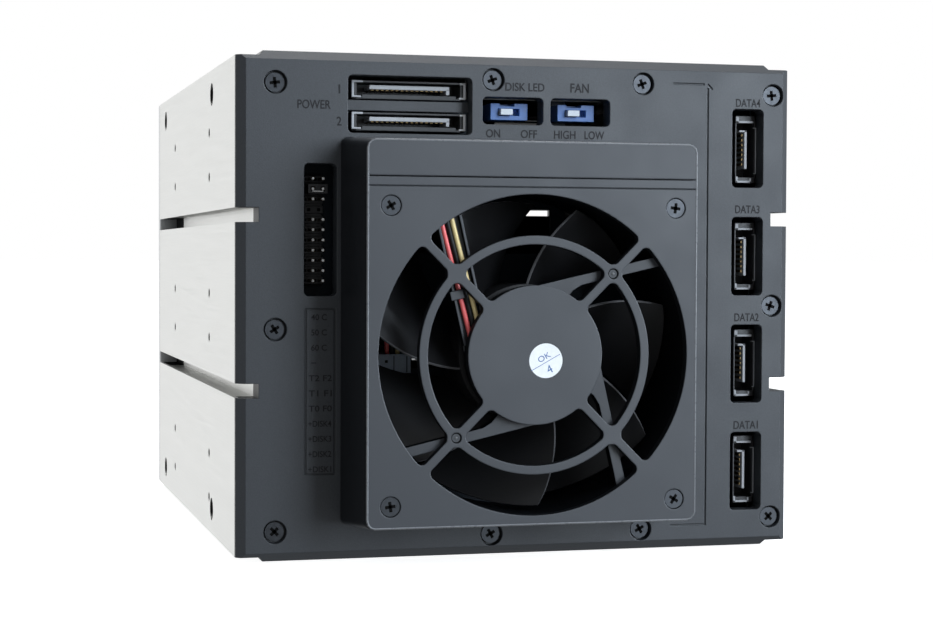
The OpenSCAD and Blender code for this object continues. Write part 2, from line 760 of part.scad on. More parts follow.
// The plastic guides on both sides: ledges above and below each tray's tongue.
module drive_guides() {
    wall_x = [groove_floor_x - sheet_t - 3.2, groove_floor_x - sheet_t - 1.3];
    ledge_x = rail_in_x + rail_t + 0.6;
    color("#26272a") for (m = [0, 1]) mirror([m, 0, 0]) {
        slab(frame_y1 + 0.2, board_y0 - 2.3) {
            translate([wall_x[0], 3]) square([wall_x[1] - wall_x[0], cage_h - 6]);
            for (i = TRAYS, side = SIDES)
                translate([ledge_x, tray_z(i) + tongue_z + side * (tongue_half_h + 0.95) - 0.6])
                    square([wall_x[0] - ledge_x + eps, 1.2]);
        }
        // feet that rest against the side panel between its grooves
        for (b = BAYS, y = [-112, -40])
            block(wall_x[1] - eps, half_w - sheet_t - 0.05, y, y + 14,
                  bay_pitch * b + 13.5, bay_pitch * b + 29);
    }
}

module bay_opening() {
    translate([-opening_half_w, opening_z[0]]) square([2 * opening_half_w, opening_z[1] - opening_z[0]]);
}

module front_frame() {
    color("#232427") slab(frame_y0 + 0.02, frame_y1) difference() {
        section(sheet_t + 0.1);
        bay_opening();
        groove_slots();
    }
}

module front_bezel() {
    color("#b9bbbd") slab(bezel_y0, bezel_y1) difference() {
        section();
        bay_opening();
    }
}

module tray(i) {
    z0 = tray_z(i);
    mid = z0 + middle_z;
    face_y = tray_front_y;
    recess_d = 6;
    color("#2c2e31") difference() {
        union() {
            block(-tray_half_w, tray_half_w, face_y, tray_block_y1, z0, z0 + tray_h);
            for (s = [0, 1]) mirror([s, 0, 0]) {
                block(rail_in_x, rail_in_x + rail_t, tray_block_y1 - eps, tray_end_y, z0 + 0.2, z0 + rail_h);
                block(rail_in_x + rail_t - eps, tongue_out_x, frame_y1 + 3, tray_end_y,
                      z0 + tongue_z - tongue_half_h, z0 + tongue_z + tongue_half_h);
            }
            // cross bars that the drive lies on
            for (y = [-165, -120, -75, -42])
                block(-rail_in_x - rail_t, rail_in_x + rail_t, y, y + 14, z0 + 0.2, z0 + 1.4);
        }
        // recess for the lever, and the openings that the air comes in through
        block(latch_nose_x - 0.3, lever_pin_x + 5.4, face_y - 1, face_y + recess_d,
              z0 + lever_z[0] - 0.8, z0 + lever_z[1] + 0.8);
        for (x = tray_slot_x)
            block(x - 9, x + 9, face_y - 1, tray_block_y1 + 1, z0 + 6.6, z0 + 10.2);
        for (s = SIDES)
            block(s * 51.6 - 11.7, s * 51.6 + 11.7, face_y - 1, tray_block_y1 + 1, z0 + 26.2, z0 + 28.4);
        // seats for the latch, its nose, the lock, the lamps and the lever's pin
        block(latch_x[0] - latch_travel - 0.4, latch_x[1] + 0.4, face_y - 1, face_y + 7, mid - 5.3, mid + 5.3);
        block(latch_x[1], latch_nose_x, face_y - 1, face_y + 1, mid - 3.8, mid + 3.8);
        rod(lock_x, mid, lock_r + 0.05, face_y - 1, face_y + 9, 48);
        for (dz = SIDES) rod(lamp_x, mid + dz * 3, 1.0, face_y - 1, tray_block_y1 + 1, 24);
        translate([lever_pin_x, face_y + 2.4, z0 + 3.4]) cylinder(r = 1.1, h = tray_h - 6.8, $fn = 32);
        // holes for the screws that hold the drive from its sides
        for (s = SIDES, y = [-132, -72]) translate([s * (rail_in_x + rail_t / 2), y, z0 + 7.9])
            rotate([0, 90, 0]) cylinder(r = 1.7, h = 4, center = true, $fn = 24);
    }
}

// The lever lies across the tray's face and swings out round its pin.
module lever(i) {
    z0 = tray_z(i);
    y0 = tray_front_y - lever_proud;
    pin_y = tray_front_y + 2.4;
    z = [z0 + lever_z[0], z0 + lever_z[1]];
    color("#a9abae") difference() {
        union() {
            block(lever_x[0], lever_pin_x, y0, y0 + 3, z[0], z[1]);
            translate([lever_pin_x, pin_y, z[0]]) cylinder(r = 3, h = z[1] - z[0], $fn = 48);
            block(lever_pin_x - 3, lever_pin_x + 3, y0 + 1.4, pin_y, z[0], z[1]);
            block(lever_x[0], lever_x[0] + 2, y0, tray_front_y + 4.5, z[0] + 3, z[1] - 3);
        }
        for (x = [-32 : 8 : 40]) block(x - 2.6, x + 2.6, y0 - 1, y0 + 4, z[0] + 4, z[1] - 4);
        translate([lever_pin_x, pin_y, z0]) cylinder(r = 1.15, h = tray_h, $fn = 32);
    }
}

module lever_pin(i) {
    color("silver") translate([lever_pin_x, tray_front_y + 2.4, tray_z(i) + 3.4])
        cylinder(r = 1.1, h = tray_h - 6.8, $fn = 32);
}

// The latch slides sideways under the thumb, against its spring.
module latch(i) {
    mid = tray_z(i) + middle_z;
    color("#3a3c40") difference() {
        union() {
            block(latch_x[0], latch_x[1], tray_front_y - 1, tray_front_y + 6.4, mid - 5, mid + 5);
            block(latch_x[1] - eps, latch_nose_x - 0.3, tray_front_y - 0.6, tray_front_y + 0.7,
                  mid - 3.5, mid + 3.5);
        }
        translate([latch_x[0] - 1, tray_front_y + 3, mid]) rotate([0, 90, 0])
            cylinder(r = 2, h = 4, $fn = 32);
    }
}

// It is drawn as short as it gets, so the latch has its whole travel.
module latch_spring(i) {
    turns = 4;
    steps = 10; // for each turn
    pitch = 0.66;
    coil_r = 1.35;
    color("silver") translate([latch_x[0] - latch_travel, tray_front_y + 3, tray_z(i) + middle_z])
        tube([for (k = [0 : turns * steps])
            [pitch * k / steps, coil_r * cos(360 / steps * k), coil_r * sin(360 / steps * k)]], 0.2, 6);
}

module key_lock(i) {
    mid = tray_z(i) + middle_z;
    color("silver") difference() {
        rod(lock_x, mid, lock_r, tray_front_y - 0.8, tray_front_y + 8, 48);
        block(lock_x - 0.6, lock_x + 0.6, tray_front_y - 2, tray_front_y + 3, mid - 2.2, mid + 2.2);
    }
}

module light_pipes(i) {
    color("white") for (dz = SIDES)
        rod(lamp_x, tray_z(i) + middle_z + dz * 3, 1.0, tray_front_y - 0.3, tray_block_y1, 24);
}

// ======== Nodes ========

in_cage() color("#c9cac8") side_panel(-1);  // side_panel_left
in_cage() color("#c9cac8") side_panel(1);  // side_panel_right
in_cage() color("#c4c5c4") cover_sheet(1);  // top_cover
in_cage() color("#c4c5c4") cover_sheet(-1);  // bottom_cover
in_cage() rear_plate();
in_cage() rear_plate_screws();
in_cage() fan_box();
in_cage() fan_guard();
in_cage() fan_guard_screws();
in_cage() inspection_label();
in_cage() fan_frame();
in_cage() fan_stator();
in_cage() fan_bearing();
in_cage() fan_shaft();
in_cage() fan_rotor();
in_cage() fan_leads();
in_cage() fan_connector();
in_cage() backplane_board();
in_cage() board_screws();
in_cage() power_sockets();
in_cage() data_sockets();
in_cage() drive_sockets();
in_cage() contact_pins();
in_cage() pin_header();
in_cage() jumper_cap();
in_cage() buzzer();
in_cage() switch_bodies();
in_cage() switch_knob(0);  // led_switch_knob
in_cage() switch_knob(1);  // fan_switch_knob
in_cage() drive_guides();
in_cage() front_frame();
in_cage() front_bezel();
for (i = TRAYS) {
    in_cage() tray(i);
    in_cage() lever(i);
    in_cage() lever_pin(i);
    in_cage() latch(i);
    in_cage() latch_spring(i);
    in_cage() key_lock(i);
    in_cage() light_pipes(i);
}
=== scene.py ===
"""A hot-swap drive cage with an exhaust fan, seen from behind and a little from one side."""

import json
import math

import bmesh
import bpy
from mathutils import Matrix, Vector


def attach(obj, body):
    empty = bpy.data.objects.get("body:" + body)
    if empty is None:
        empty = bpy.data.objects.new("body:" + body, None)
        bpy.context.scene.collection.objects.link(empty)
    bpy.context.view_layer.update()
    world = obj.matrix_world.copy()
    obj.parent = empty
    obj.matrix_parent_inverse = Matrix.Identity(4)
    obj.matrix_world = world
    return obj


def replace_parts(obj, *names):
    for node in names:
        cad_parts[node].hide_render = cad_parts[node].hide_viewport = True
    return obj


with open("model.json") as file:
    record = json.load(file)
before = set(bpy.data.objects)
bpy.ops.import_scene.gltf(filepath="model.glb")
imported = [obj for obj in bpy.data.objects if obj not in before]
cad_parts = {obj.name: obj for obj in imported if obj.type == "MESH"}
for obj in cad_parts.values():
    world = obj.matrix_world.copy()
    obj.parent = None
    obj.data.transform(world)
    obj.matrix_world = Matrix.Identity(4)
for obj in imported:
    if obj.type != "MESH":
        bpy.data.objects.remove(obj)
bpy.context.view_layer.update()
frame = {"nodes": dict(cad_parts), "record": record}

MM = 0.001
NODES = frame["nodes"]
SCENE = bpy.context.scene

# Heights and depths on the cage, in millimetres, as part.scad has them.
PLATE_Y = 81.5  # face of the rear plate
FOOT_Z = 1.2  # foot of the cage's corners
FAN_AT = (3.7, 50.45)  # the fan's axis, from the plate's lower edge
BOX_FRONT_Y = 23.5  # face of the fan box, from the plate's face
FAN_OUTLET_Y = 20.9  # the fan frame's outlet side
FAN_SCREW_REACH = 35.75  # from the fan's axis to its screws, along X and along Z
TRAY_COUNT = 4
TRAY_PITCH = 29.5
TRAY_FOOT_Z = 2.95  # foot of the lowest tray
TRAY_MIDDLE_Z = 14.4  # middle of a tray's lever, above the tray's foot
TRAY_FACE_Y = -184.5
GUARD_RING_R = 27.8
PLUG_AT = (FAN_AT[0] + 28.2, FAN_AT[1] - 3.35)  # middle of the leads' plug
LOCK_X = -58.4


def cage(x, y, z):
    """A point in metres from millimetres in the cage's own places: y from the plate's face."""
    return Vector((x * MM, (y + PLATE_Y) * MM, (z + FOOT_Z) * MM))


# ---------------------------------------------------------------- camera


def make_camera():
    """A camera behind the cage, a little to one side of the fan and almost level."""
    azimuth, elevation, roll = map(math.radians, (165.148, 1.558, 0.226))
    back = Vector((math.sin(azimuth) * math.cos(elevation),
                   -math.cos(azimuth) * math.cos(elevation), math.sin(elevation)))
    level = Vector((0, 0, 1)).cross(back).normalized()
    upright = back.cross(level)
    right = math.cos(roll) * level + math.sin(roll) * upright
    up = math.cos(roll) * upright - math.sin(roll) * level
    data = bpy.data.cameras.new("camera")
    data.sensor_width = 36
    data.lens = 76.8
    data.clip_start = 0.01
    data.clip_end = 50
    camera = bpy.data.objects.new("camera", data)
    SCENE.collection.objects.link(camera)
    turn = Matrix((right, up, back)).transposed()
    camera.matrix_world = Matrix.Translation(cage(142.8, 482.8, 74.1)) @ turn.to_4x4()
    SCENE.camera = camera


# ---------------------------------------------------------------- materials


class Surface:
    """A procedural material: a shader with fine relief, and variation in colour and roughness."""

    def __init__(self, name, colour, roughness, metallic=0.0, specular=0.5):
        self.material = bpy.data.materials.new(name)
        self.material.use_nodes = True
        self.tree = self.material.node_tree
        self.shader = self.tree.nodes["Principled BSDF"]
        self.colour = (*colour, 1.0)
        self.roughness = roughness
        self.shader.inputs["Base Color"].default_value = self.colour
        self.shader.inputs["Roughness"].default_value = roughness
        self.shader.inputs["Metallic"].default_value = metallic
        self.shader.inputs["Specular IOR Level"].default_value = specular
        self.material.diffuse_color = self.colour

    def node(self, kind, **values):
        """A shader node. Each value sets an input of that name, or else a property."""
        made = self.tree.nodes.new(kind)
        for key, value in values.items():
            if key in made.inputs:
                made.inputs[key].default_value = value
            else:
                setattr(made, key, value)
        return made

    def link(self, source, target):
        self.tree.links.new(source, target)

    def noise(self, scale, stretch=(1, 1, 1), detail=4.0):
        """Noise in the object's own place, with scale in features for each metre."""
        place = self.node("ShaderNodeTexCoord")
        mapping = self.node("ShaderNodeMapping", Scale=stretch)
        self.link(place.outputs["Object"], mapping.inputs["Vector"])
        noise = self.node("ShaderNodeTexNoise", Scale=scale, Detail=detail, Roughness=0.6)
        self.link(mapping.outputs["Vector"], noise.inputs["Vector"])
        return noise.outputs["Fac"]

    def remap(self, value, low, high, source=(0.3, 0.7)):
        """Stretches the source range to low and high."""
        made = self.node("ShaderNodeMapRange")
        for key, number in zip(("From Min", "From Max", "To Min", "To Max"), (*source, low, high)):
            made.inputs[key].default_value = number
        self.link(value, made.inputs["Value"])
        return made.outputs["Result"]

    def soften(self, radius):
        """Rounds every edge in the shading, radius in millimetres."""
        bevel = self.node("ShaderNodeBevel", samples=6, Radius=radius * MM)
        self.link(bevel.outputs["Normal"], self.shader.inputs["Normal"])
        return self

    def relief(self, value, height, strength=1.0):
        bump = self.node("ShaderNodeBump", Strength=strength, Distance=height)
        self.link(value, bump.inputs["Height"])
        before = self.shader.inputs["Normal"]
        if before.is_linked:
            self.link(before.links[0].from_socket, bump.inputs["Normal"])
        self.link(bump.outputs["Normal"], before)
        return self

    def vary_roughness(self, value, spread):
        self.link(self.remap(value, self.roughness - spread, self.roughness + spread),
                  self.shader.inputs["Roughness"])
        return self

    def vary_colour(self, value, spread):
        mix = self.node("ShaderNodeMix", data_type="RGBA")
        for key, factor in (("A", 1 - spread), ("B", 1 + spread)):
            socket = [s for s in mix.inputs if s.name == key and s.type == "RGBA"][0]
            socket.default_value = tuple(c * factor for c in self.colour[:3]) + (1.0,)
        self.link(self.remap(value, 0.0, 1.0), mix.inputs[0])
        self.link([s for s in mix.outputs if s.type == "RGBA"][0], self.shader.inputs["Base Color"])
        return self

    def paint_shade_by_facing(self, axis, factor, facing):
        """Paints shade into the colour: darkens what faces along an axis of the object, or what doesn't,
        and lowers its specular to match.
        """
        place = self.node("ShaderNodeTexCoord")
        split = self.node("ShaderNodeSeparateXYZ")
        self.link(place.outputs["Normal"], split.inputs[0])
        along = self.node("ShaderNodeMath", operation="ABSOLUTE")
        self.link(split.outputs[axis], along.inputs[0])
        low, high = (0.0, 1.0) if facing else (1.0, 0.0)
        mix = self.node("ShaderNodeMix", data_type="RGBA")
        colours = [socket for socket in mix.inputs if socket.type == "RGBA"]
        before = self.shader.inputs["Base Color"]
        self.link(before.links[0].from_socket, colours[0])
        colours[1].default_value = tuple(c * factor for c in self.colour[:3]) + (1.0,)
        self.link(self.remap(along.outputs[0], low, high, PAINTED_SHADE_RANGE), mix.inputs[0])
        self.link([s for s in mix.outputs if s.type == "RGBA"][0], before)
        plain, shaded = 0.5, 0.5 * factor * factor
        across, facing_axis = (plain, shaded) if facing else (shaded, plain)
        self.link(self.remap(along.outputs[0], across, facing_axis, PAINTED_SHADE_RANGE),
                  self.shader.inputs["Specular IOR Level"])
        return self


PAINTED_SHADE_RANGE = (0.6, 0.9)  # where a surface begins and ends to count as facing the axis, for the painted shade


def moulded(name, colour, roughness, grain=0.3, relief=0.02, spread=0.1, specular=0.5, paint_shade_by_facing=None,
             edge=0.0):
    """Moulded plastic with a fine spark-eroded texture: grain and relief in millimetres."""
    made = Surface(name, colour, roughness, specular=specular)
    if edge:
        made.soften(edge)
    fine = made.noise(1 / (grain * MM))
    made.relief(fine, relief * MM)
    made.vary_roughness(made.noise(60, detail=2), 0.04)
    made.vary_colour(fine, spread)
    if paint_shade_by_facing:
        made.paint_shade_by_facing(*paint_shade_by_facing)
    return made.material


def brushed(name, colour, roughness, along="y", relief=0.004, paint_shade_by_facing=None, metallic=1.0):
    """Brushed aluminium: streaks drawn out along one direction."""
    made = Surface(name, colour, roughness, metallic=metallic)
    stretch = {"x": (0.012, 1, 1), "y": (1, 0.012, 1), "z": (1, 1, 0.012)}[along]
    streaks = made.noise(3500, stretch=stretch, detail=3)
    made.relief(streaks, relief * MM, 0.25)
    made.vary_roughness(streaks, 0.05)
    made.vary_colour(streaks, 0.04)
    if paint_shade_by_facing:
        made.paint_shade_by_facing(*paint_shade_by_facing)
    return made.material


def smooth(name, colour, roughness, metallic=0.0, spread=0.05, specular=0.5):
    """A smooth surface with faint unevenness."""
    made = Surface(name, colour, roughness, metallic, specular)
    soft = made.noise(900, detail=2)
    made.relief(soft, 0.003 * MM, 0.4)
    made.vary_roughness(soft, min(0.05, roughness * 0.3))
    made.vary_colour(soft, spread)
    return made.material


def make_materials():
    """The materials by the names of the record's slots."""
    return {
        # the faces that face along Y, the walls of the holes, are darkened as painted shade
        "side_metal": brushed("side_aluminium", (0.86, 0.86, 0.84), 0.34, paint_shade_by_facing=("Y", 0.06, True)),
        "cover_metal": brushed("cover_aluminium", (0.40, 0.40, 0.395), 0.55, metallic=0.25),
        "bezel_metal": brushed("bezel_aluminium", (0.74, 0.75, 0.76), 0.34, along="x"),
        "rear_plastic": moulded("rear_abs", (0.030, 0.034, 0.040), 0.42, spread=0.16, edge=0.3),
        # the walls that face along X are darkened as painted shade
        "fan_box_plastic": moulded("fan_box_abs", (0.034, 0.038, 0.045), 0.42, relief=0.006, spread=0.04,
                                   paint_shade_by_facing=("X", 0.35, True), edge=0.5),
        # the faces that don't face along Y, the guard's walls, are darkened as painted shade
        "guard_plastic": moulded("guard_abs", (0.034, 0.038, 0.045), 0.42, relief=0.006, spread=0.04,
                                 paint_shade_by_facing=("Y", 0.3, False), edge=0.4),
        # the faces that don't face along Y, the frame's bore among them, are darkened as painted shade
        "fan_plastic": moulded("fan_frame_pbt", (0.034, 0.038, 0.045), 0.42, relief=0.006, spread=0.04,
                               paint_shade_by_facing=("Y", 0.15, False), edge=0.3),
        "blade_plastic": moulded("blade_pbt", (0.009, 0.009, 0.010), 0.45, relief=0.006),
        "dark_screw": smooth("black_zinc", (0.052, 0.055, 0.060), 0.34, metallic=1.0),
        "steel": brushed("turned_steel", (0.6, 0.6, 0.6), 0.3, along="x"),
        "bronze": smooth("sintered_bronze", (0.6, 0.42, 0.22), 0.5, metallic=1.0),
        "winding": smooth("enamelled_copper", (0.55, 0.2, 0.08), 0.35, metallic=1.0),
        "label_film": smooth("label_film", (0.86, 0.88, 0.9), 0.45),
        "lead_insulation": smooth("lead_red", (0.85, 0.14, 0.14), 0.35),
        "connector_plastic": smooth("connector_nylon", (0.30, 0.36, 0.44), 0.45),
        "board_laminate": smooth("solder_mask", (0.006, 0.012, 0.02), 0.5, specular=0.25),
        "socket_grey": smooth("socket_lcp_grey", (0.14, 0.145, 0.15), 0.45),
        "socket_black": smooth("socket_lcp_black", (0.018, 0.018, 0.02), 0.4),
        # gold darkened far below real gold, with the shade inside the sockets painted into it
        "gold_plate": smooth("gold_plate", (0.16, 0.11, 0.05), 0.35, metallic=1.0),
        "switch_blue": smooth("switch_blue", (0.07, 0.185, 0.50), 0.4),
        "knob_white": smooth("knob_white", (0.78, 0.84, 0.9), 0.4),
        "guide_plastic": moulded("guide_abs", (0.006, 0.006, 0.007), 0.6, specular=0.02),
        "tray_plastic": moulded("tray_abs", (0.04, 0.042, 0.046), 0.42),
        "lever_metal": brushed("lever_aluminium", (0.55, 0.56, 0.58), 0.34, along="x"),
        "latch_plastic": moulded("latch_abs", (0.03, 0.031, 0.034), 0.35),
        "lock_metal": smooth("lock_chrome", (0.8, 0.8, 0.8), 0.12, metallic=1.0),
        "lamp_clear": smooth("lamp_acrylic", (0.65, 0.75, 0.8), 0.1),
    }


# Black that paints the shade in holes, slots and recesses.
def painted_shade_black():
    return bpy.data.materials.get("void_painted_shade") or smooth("void_painted_shade", (0.004, 0.004, 0.004), 0.6,
                                                          specular=0.05)


def set_material(piece, material):
    piece.data.materials.clear()
    piece.data.materials.append(material)


# ---------------------------------------------------------------- rounding of CAD nodes


def add_bevel(piece, width, angle):
    """Rounds edges sharper than an angle in degrees, width in millimetres."""
    bevel = piece.modifiers.new("bevel", "BEVEL")
    bevel.width = width * MM
    bevel.segments = 2
    bevel.limit_method = "ANGLE"
    bevel.angle_limit = math.radians(angle)
    bevel.harden_normals = True
    bevel.use_clamp_overlap = True


def round_edges(piece, width):
    """Joins the mesh's split corners and rounds its sharp edges, width in millimetres."""
    weld = piece.modifiers.new("weld", "WELD")
    weld.merge_threshold = 0.002 * MM
    add_bevel(piece, width, 32)


# Widths in millimetres, by the start of the node's name. The longest start that fits counts.
ROUNDING = {
    "rear_plate": 0.18, "fan_box": 0.6, "fan_guard": 0.4, "fan_frame": 0.15,
    "top_cover": 0.12, "bottom_cover": 0.12, "front_bezel": 0.25, "front_frame": 0.2,
    "tray": 0.25, "lever": 0.35, "latch": 0.25, "key_lock": 0.15, "switch": 0.1, "led_switch": 0.12,
    "fan_switch": 0.12, "jumper_cap": 0.12, "power_sockets": 0.08, "data_sockets": 0.08,
    "pin_header": 0.08, "fan_connector": 0.15,
    "drive_sockets": 0.1, "backplane_board": 0.06,
}
UNROUNDED = ("latch_spring", "lever_pin", "light_pipes", "side_panel",
             "rear_plate_screws", "fan_guard_screws")


def dress_cad_nodes(materials):
    """Gives each CAD node the material of its slot, and rounded edges."""
    slots = {row["node"]: row["material_slot"] for row in frame["record"]["subparts"]}
    for name, piece in NODES.items():
        set_material(piece, materials[slots[name]])
        if name.startswith(UNROUNDED):
            continue
        stem = max((s for s in ROUNDING if name.startswith(s)), key=len, default=None)
        if stem:
            round_edges(piece, ROUNDING[stem])


# ---------------------------------------------------------------- building pieces


def finish_mesh(name, build, material, body, rounding=0.0, smooth=False):
    """Puts a mesh built in metres in the scene, to ride on a body."""
    mesh = bpy.data.meshes.new(name)
    build.to_mesh(mesh)
    build.free()
    piece = bpy.data.objects.new(name, mesh)
    SCENE.collection.objects.link(piece)
    mesh.materials.append(material)
    if smooth:
        mesh.polygons.foreach_set("use_smooth", [True] * len(mesh.polygons))
    if rounding:
        add_bevel(piece, rounding, 40)
    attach(piece, body)
    return piece


def boxes(name, ranges, material, body="cage", rounding=0.08):
    """One piece from boxes, each as (x0, x1, y0, y1, z0, z1) in the cage's own millimetres."""
    build = bmesh.new()
    for x0, x1, y0, y1, z0, z1 in ranges:
        low, high = cage(x0, y0, z0), cage(x1, y1, z1)
        middle, size = (low + high) / 2, high - low
        place = Matrix.Translation(middle) @ Matrix.Diagonal((*size, 1))
        bmesh.ops.create_cube(build, size=1, matrix=place)
    return finish_mesh(name, build, material, body, rounding)


SHARP_ANGLE = math.radians(35)  # edges sharper than this stay sharp in the shading


def lathe(name, profile, centre, material, body, sides=96, smooth=True, rounding=0.0):
    """A solid of revolution round an axis along Y. The profile is (radius, y) in millimetres."""
    build = bmesh.new()
    rings = []
    for radius, y in profile:
        if radius == 0:
            rings.append([build.verts.new(cage(centre[0], y, centre[1]))])
            continue
        rings.append([build.verts.new(cage(centre[0] + radius * math.cos(2 * math.pi * k / sides), y,
                                           centre[1] + radius * math.sin(2 * math.pi * k / sides)))
                      for k in range(sides)])
    for first, second in zip(rings, rings[1:]):
        for k in range(sides):
            n = (k + 1) % sides
            loop = (first[k % len(first)], first[n % len(first)],
                    second[n % len(second)], second[k % len(second)])
            corners = list(dict.fromkeys(loop))  # a ring of one point counts once
            if len(corners) > 2:
                build.faces.new(corners)
    bmesh.ops.recalc_face_normals(build, faces=build.faces)
    for edge in build.edges:
        edge.smooth = edge.calc_face_angle(math.pi) < SHARP_ANGLE
    return finish_mesh(name, build, material, body, rounding, smooth)


def smooth_route(points, steps=6):
    """A finer list of points along a smooth curve through the given ones."""
    padded = [points[0], *points, points[-1]]
    route = []
    for a, b, c, d in zip(padded, padded[1:], padded[2:], padded[3:]):
        for k in range(steps):
            t = k / steps
            route.append(0.5 * (2 * b + (c - a) * t + (2 * a - 5 * b + 4 * c - d) * t * t
                                + (3 * b - a - 3 * c + d) * t ** 3))
    route.append(points[-1])
    return route


def tube(name, points, radius, material, body="cage", sides=16):
    """A round tube through points in metres, with its radius in millimetres."""
    route = smooth_route(points)
    build = bmesh.new()
    rings = []
    across = Vector((1, 0, 0))
    for i, point in enumerate(route):
        along = (route[min(i + 1, len(route) - 1)] - route[max(i - 1, 0)]).normalized()
        across = (across - across.dot(along) * along).normalized()
        other = along.cross(across)
        rings.append([build.verts.new(point + radius * MM * (across * math.cos(2 * math.pi * k / sides)
                                                           + other * math.sin(2 * math.pi * k / sides)))
                      for k in range(sides)])
    for first, second in zip(rings, rings[1:]):
        for k in range(sides):
            n = (k + 1) % sides
            build.faces.new((first[k], first[n], second[n], second[k]))
    for ring in (rings[0], rings[-1]):
        build.faces.new(ring)
    bmesh.ops.recalc_face_normals(build, faces=build.faces)
    return finish_mesh(name, build, material, body, smooth=True)


REAR = Matrix(((-1, 0, 0), (0, 0, 1), (0, 1, 0)))  # letters read from behind the cage
FRONT = Matrix(((1, 0, 0), (0, 0, -1), (0, 1, 0)))  # letters read from its front


def letters(name, lines, material, body="cage", facing=REAR, height=0.06, weight=0.012, turn=0.0):
    """One piece of raised lettering. Each line is (words, x at its left, x at its right, y, z0, z1)."""
    build = bmesh.new()
    for words, left, right, y, z0, z1 in lines:
        curve = bpy.data.curves.new(name, "FONT")
        curve.body = words
        curve.resolution_u = 4
        curve.extrude = 1.0
        curve.offset = weight
        holder = bpy.data.objects.new(name, curve)
        SCENE.collection.objects.link(holder)
        flat = bpy.data.meshes.new_from_object(holder)
        bpy.data.objects.remove(holder)
        bpy.data.curves.remove(curve)
        lows = [min(v.co[i] for v in flat.vertices) for i in range(3)]
        highs = [max(v.co[i] for v in flat.vertices) for i in range(3)]
        wide = abs(left - right) * MM / (highs[0] - lows[0])
        tall = (z1 - z0) * MM / (highs[1] - lows[1])
        deep = height * MM / (highs[2] - lows[2])
        shrink = Matrix.Diagonal((wide, tall, deep, 1)) @ Matrix.Translation(-Vector(lows))
        middle = cage((left + right) / 2, y, (z0 + z1) / 2)
        upright = Matrix.Translation(cage(left, y, z0) - middle) @ facing.to_4x4() @ shrink
        flat.transform(Matrix.Translation(middle) @ Matrix.Rotation(math.radians(turn), 4, "Y") @ upright)
        build.from_mesh(flat)
        bpy.data.meshes.remove(flat)
    return finish_mesh(name, build, material, body)


# ---------------------------------------------------------------- the fan


HUB_R = 17.2
ROOT_R = HUB_R - 0.4  # the blades start a little inside the cup
TIP_R = 37.65
BLADE_REAR_Y = 15.2
BLADE_DEPTH = 17.4
BLADE_COUNT = 7
FIRST_BLADE = 7.5  # its direction at the tip's rear end, in degrees
BLADE_SWEEP = 20  # how far the root lags behind the tip
BLADE_TWIST = 42  # how far a blade turns over its depth
BLADE_THICKNESS = 0.7


def make_rotor(material, rim):
    """The cup and its seven blades, as smooth surfaces, in place of the plain CAD rotor."""
    cup = lathe("rotor_cup", [
        (1.5, -1.2), (1.5, -3.2), (15.7, -3.2), (16.6, -2.9), (17.2, -2.1), (17.2, 15.1), (17.0, 15.4),
        (15.8, 15.4), (15.6, 15.1), (15.6, -1.2), (1.5, -1.2)], FAN_AT, material, "rotor")
    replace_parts(cup, "fan_rotor")
    radial, deep = 12, 16  # faces along a blade's span and over its depth
    build = bmesh.new()
    for blade in range(BLADE_COUNT):
        start = FIRST_BLADE + 360 / BLADE_COUNT * blade
        grid = []
        for i in range(radial + 1):
            u = i / radial
            radius = ROOT_R + (TIP_R - ROOT_R) * u
            row = []
            for j in range(deep + 1):
                v = j / deep
                angle = math.radians(start - BLADE_SWEEP * (1 - u) + BLADE_TWIST * v)
                # the corner at the tip is rounded off at the rear and the front
                cut = 0.7 * max(0.0, u - 0.85) / 0.15 * (abs(2 * v - 1) ** 8)
                y = BLADE_REAR_Y - BLADE_DEPTH * v - cut * (1 if v < 0.5 else -1)
                row.append(build.verts.new(cage(FAN_AT[0] + radius * math.cos(angle), y,
                                                FAN_AT[1] + radius * math.sin(angle))))
            grid.append(row)
        for i in range(radial):
            for j in range(deep):
                build.faces.new((grid[i][j], grid[i + 1][j], grid[i + 1][j + 1], grid[i][j + 1]))
    bmesh.ops.recalc_face_normals(build, faces=build.faces)
    blades = finish_mesh("rotor_blades", build, material, "rotor", smooth=True)
    thick = blades.modifiers.new("thickness", "SOLIDIFY")
    thick.thickness = BLADE_THICKNESS * MM
    thick.offset = 0
    # the blades' rims take a lighter colour, a painted highlight on their edges
    blades.data.materials.append(rim)
    thick.material_offset_rim = 1
    soft = blades.modifiers.new("bevel", "BEVEL")
    soft.width = 0.14 * MM
    soft.segments = 2
    soft.limit_method = "ANGLE"
    soft.angle_limit = math.radians(50)
    soft.harden_normals = True
    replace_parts(blades, "fan_rotor")


CHANNEL = math.radians(77)  # the direction of the channel that holds the leads
LEAD_R = 0.6
LEAD_PITCH = 1.35
LEADS_Y = FAN_OUTLET_Y - 1.9 + 0.62  # the leads' middle, where they lie on the channel's floor
LEAD_DRIFT = 0.033  # how far the leads drift across the channel for each millimetre along it


def over_channel(along, across, y):
    """A point over the channel, from the distances along it and across it, in millimetres."""
    return cage(FAN_AT[0] + along * math.cos(CHANNEL) - across * math.sin(CHANNEL), y,
                FAN_AT[1] + along * math.sin(CHANNEL) + across * math.cos(CHANNEL))


def make_leads(colours):
    """Three insulated leads from the motor over the frame's edge to the plug on the board."""
    for lane, (name, material) in zip((1, 0, -1), colours):
        side = lane * LEAD_PITCH
        points = [over_channel(along, -13.5 - side + LEAD_DRIFT * (36 - along), LEADS_Y)
                  for along in (3, 14, 25, 35)]
        # over the frame's edge, through the plate and down to the plug, from the fan's axis
        for x, y, z in ((22.9, LEADS_Y, 39.0), (23.4, LEADS_Y - 1.2, 40.8), (23.8, LEADS_Y - 3.8, 42.0),
                        (24.0, 12, 42.4), (24.6, 3, 42.4), (25.4, -4, 41.9), (26.6, -7.6, 39),
                        (28.0, -8.6, 32), (29.0, -8.6, 20), (28.6, -8.6, 8), (28.2, -8.6, -1.0)):
            points.append(cage(FAN_AT[0] + x + side, y, FAN_AT[1] + z))
        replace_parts(tube(name, points, LEAD_R, material), "fan_leads")


